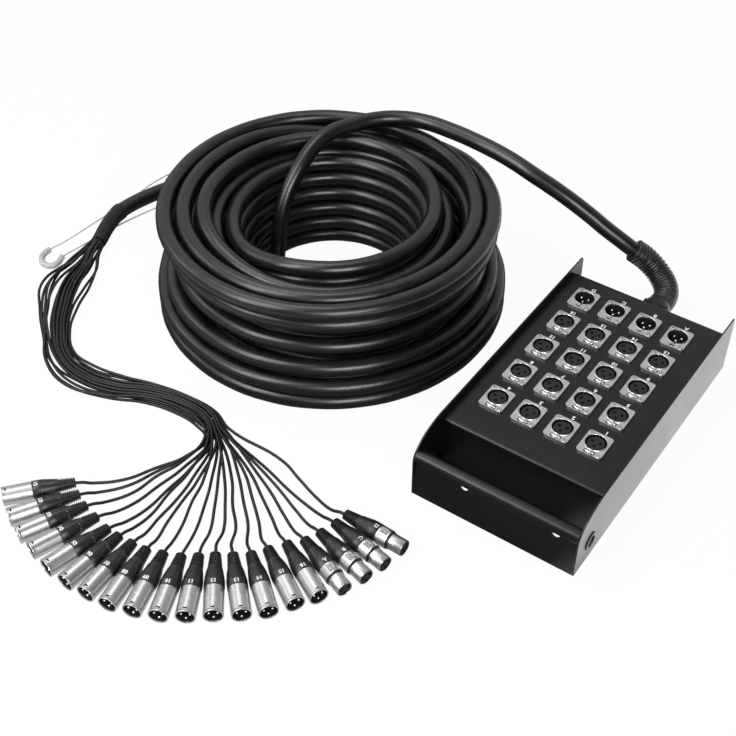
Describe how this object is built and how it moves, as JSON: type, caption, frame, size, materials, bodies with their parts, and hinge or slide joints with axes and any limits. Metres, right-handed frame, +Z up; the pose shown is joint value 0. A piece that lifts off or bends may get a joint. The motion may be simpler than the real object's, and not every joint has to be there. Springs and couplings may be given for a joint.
{
  "type": "stage box snake",
  "caption": "Sheet steel audio stage box with panel connectors, a long coiled multicore cable and a fan of cable plugs.",
  "frame": {"origin": "on the floor, under the middle of the stage box without its cable", "axes": "+Z up, +Y from the front handle to the rear wall that the multicore leaves, +X to the right of the box"},
  "size_m": [0.742, 0.6822, 0.1521],
  "materials": {
    "black_paint": "fine textured black powder coat",
    "satin_nickel": "satin nickel plating on cast zinc",
    "black_nylon": "satin moulded nylon",
    "cable_jacket": "satin flexible PVC",
    "shrink_sleeve": "matt heat-shrink sleeve",
    "tail_jacket": "satin flexible PVC",
    "steel_wire": "bright stranded wire",
    "clear_sleeve": "clear plastic sleeve"
  },
  "bodies": {
    "stage_box": {"base_pan": "black_paint", "handle_plate": "black_paint", "connector_panel": "black_paint", "wiring_loom": "tail_jacket", "panel_plug_A": "satin_nickel", "panel_plug_B": "satin_nickel", "panel_plug_C": "satin_nickel", "panel_plug_D": "satin_nickel", "cable_gland": "black_nylon", "gland_locknut": "black_nylon", "bend_protector": "black_nylon", "multicore_lead": "cable_jacket", "coil_winding": "cable_jacket", "coil_core": "cable_jacket", "multicore_tail": "cable_jacket", "breakout_boot": "shrink_sleeve", "tail_cables": "tail_jacket", "plug_01": "satin_nickel", "plug_02": "satin_nickel", "plug_03": "satin_nickel", "plug_04": "satin_nickel", "plug_05": "satin_nickel", "plug_06": "satin_nickel", "plug_07": "satin_nickel", "plug_08": "satin_nickel", "plug_09": "satin_nickel", "plug_10": "satin_nickel", "plug_11": "satin_nickel", "plug_12": "satin_nickel", "plug_13": "satin_nickel", "plug_14": "satin_nickel", "plug_15": "satin_nickel", "plug_16": "satin_nickel", "plug_A": "satin_nickel", "plug_B": "satin_nickel", "plug_C": "satin_nickel", "plug_D": "satin_nickel", "pulling_loop": "steel_wire", "loop_sleeve": "clear_sleeve"},
    "push_tab_01_body": {"push_tab_01": "satin_nickel"},
    "push_tab_02_body": {"push_tab_02": "satin_nickel"},
    "push_tab_03_body": {"push_tab_03": "satin_nickel"},
    "push_tab_04_body": {"push_tab_04": "satin_nickel"},
    "push_tab_05_body": {"push_tab_05": "satin_nickel"},
    "push_tab_06_body": {"push_tab_06": "satin_nickel"},
    "push_tab_07_body": {"push_tab_07": "satin_nickel"},
    "push_tab_08_body": {"push_tab_08": "satin_nickel"},
    "push_tab_09_body": {"push_tab_09": "satin_nickel"},
    "push_tab_10_body": {"push_tab_10": "satin_nickel"},
    "push_tab_11_body": {"push_tab_11": "satin_nickel"},
    "push_tab_12_body": {"push_tab_12": "satin_nickel"},
    "push_tab_13_body": {"push_tab_13": "satin_nickel"},
    "push_tab_14_body": {"push_tab_14": "satin_nickel"},
    "push_tab_15_body": {"push_tab_15": "satin_nickel"},
    "push_tab_16_body": {"push_tab_16": "satin_nickel"},
    "plug_latch_A_body": {"plug_latch_A": "satin_nickel"},
    "plug_latch_B_body": {"plug_latch_B": "satin_nickel"},
    "plug_latch_C_body": {"plug_latch_C": "satin_nickel"},
    "plug_latch_D_body": {"plug_latch_D": "satin_nickel"}
  },
  "joints": [
    {"name": "push_tab_01_press", "type": "slide", "parent": "stage_box", "child": "push_tab_01_body", "axis": [0, 0, -1], "range_m": [0, 0.0018], "stiffness_N_per_m": 600, "springref_m": -0.001},
    {"name": "push_tab_02_press", "type": "slide", "parent": "stage_box", "child": "push_tab_02_body", "axis": [0, 0, -1], "range_m": [0, 0.0018], "stiffness_N_per_m": 600, "springref_m": -0.001},
    {"name": "push_tab_03_press", "type": "slide", "parent": "stage_box", "child": "push_tab_03_body", "axis": [0, 0, -1], "range_m": [0, 0.0018], "stiffness_N_per_m": 600, "springref_m": -0.001},
    {"name": "push_tab_04_press", "type": "slide", "parent": "stage_box", "child": "push_tab_04_body", "axis": [0, 0, -1], "range_m": [0, 0.0018], "stiffness_N_per_m": 600, "springref_m": -0.001},
    {"name": "push_tab_05_press", "type": "slide", "parent": "stage_box", "child": "push_tab_05_body", "axis": [0, 0, -1], "range_m": [0, 0.0018], "stiffness_N_per_m": 600, "springref_m": -0.001},
    {"name": "push_tab_06_press", "type": "slide", "parent": "stage_box", "child": "push_tab_06_body", "axis": [0, 0, -1], "range_m": [0, 0.0018], "stiffness_N_per_m": 600, "springref_m": -0.001},
    {"name": "push_tab_07_press", "type": "slide", "parent": "stage_box", "child": "push_tab_07_body", "axis": [0, 0, -1], "range_m": [0, 0.0018], "stiffness_N_per_m": 600, "springref_m": -0.001},
    {"name": "push_tab_08_press", "type": "slide", "parent": "stage_box", "child": "push_tab_08_body", "axis": [0, 0, -1], "range_m": [0, 0.0018], "stiffness_N_per_m": 600, "springref_m": -0.001},
    {"name": "push_tab_09_press", "type": "slide", "parent": "stage_box", "child": "push_tab_09_body", "axis": [0, 0, -1], "range_m": [0, 0.0018], "stiffness_N_per_m": 600, "springref_m": -0.001},
    {"name": "push_tab_10_press", "type": "slide", "parent": "stage_box", "child": "push_tab_10_body", "axis": [0, 0, -1], "range_m": [0, 0.0018], "stiffness_N_per_m": 600, "springref_m": -0.001},
    {"name": "push_tab_11_press", "type": "slide", "parent": "stage_box", "child": "push_tab_11_body", "axis": [0, 0, -1], "range_m": [0, 0.0018], "stiffness_N_per_m": 600, "springref_m": -0.001},
    {"name": "push_tab_12_press", "type": "slide", "parent": "stage_box", "child": "push_tab_12_body", "axis": [0, 0, -1], "range_m": [0, 0.0018], "stiffness_N_per_m": 600, "springref_m": -0.001},
    {"name": "push_tab_13_press", "type": "slide", "parent": "stage_box", "child": "push_tab_13_body", "axis": [0, 0, -1], "range_m": [0, 0.0018], "stiffness_N_per_m": 600, "springref_m": -0.001},
    {"name": "push_tab_14_press", "type": "slide", "parent": "stage_box", "child": "push_tab_14_body", "axis": [0, 0, -1], "range_m": [0, 0.0018], "stiffness_N_per_m": 600, "springref_m": -0.001},
    {"name": "push_tab_15_press", "type": "slide", "parent": "stage_box", "child": "push_tab_15_body", "axis": [0, 0, -1], "range_m": [0, 0.0018], "stiffness_N_per_m": 600, "springref_m": -0.001},
    {"name": "push_tab_16_press", "type": "slide", "parent": "stage_box", "child": "push_tab_16_body", "axis": [0, 0, -1], "range_m": [0, 0.0018], "stiffness_N_per_m": 600, "springref_m": -0.001},
    {"name": "plug_latch_A_press", "type": "slide", "parent": "stage_box", "child": "plug_latch_A_body", "axis": [0, 0, -1], "range_m": [0, 0.0009], "stiffness_N_per_m": 800, "springref_m": -0.001},
    {"name": "plug_latch_B_press", "type": "slide", "parent": "stage_box", "child": "plug_latch_B_body", "axis": [0, 0, -1], "range_m": [0, 0.0009], "stiffness_N_per_m": 800, "springref_m": -0.001},
    {"name": "plug_latch_C_press", "type": "slide", "parent": "stage_box", "child": "plug_latch_C_body", "axis": [0, 0, -1], "range_m": [0, 0.0009], "stiffness_N_per_m": 800, "springref_m": -0.001},
    {"name": "plug_latch_D_press", "type": "slide", "parent": "stage_box", "child": "plug_latch_D_body", "axis": [0, 0, -1], "range_m": [0, 0.0009], "stiffness_N_per_m": 800, "springref_m": -0.001}
  ]
}
